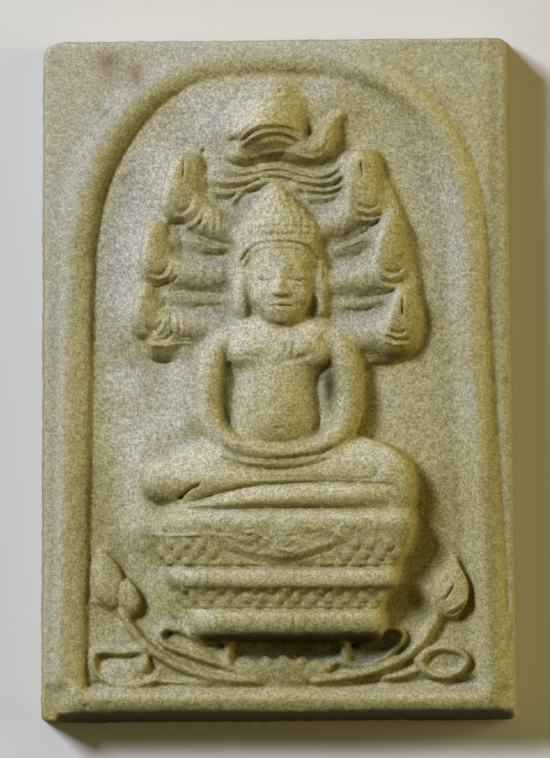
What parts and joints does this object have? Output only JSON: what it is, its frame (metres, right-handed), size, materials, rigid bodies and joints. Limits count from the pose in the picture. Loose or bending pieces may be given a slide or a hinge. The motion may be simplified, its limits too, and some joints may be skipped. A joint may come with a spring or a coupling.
{
  "type": "pressed-powder votive tablet with a naga buddha",
  "caption": "Small arched votive tablet with a meditating figure on a coiled naga under its spread hood, in high relief, over a lotus spray.",
  "frame": {"origin": "centre of the tablet's flat back, which lies on the ground", "axes": "+Z out of the carved face, +Y up the picture, +X to the picture's right"},
  "size_m": [0.0252, 0.036, 0.0059],
  "materials": {
    "pressed_powder": "dry, sandy and matt, with ochre staining in the hollows and a pale bloom on the flats"
  },
  "bodies": {
    "root": {"naga_buddha_tablet": "pressed_powder"}
  },
  "joints": []
}
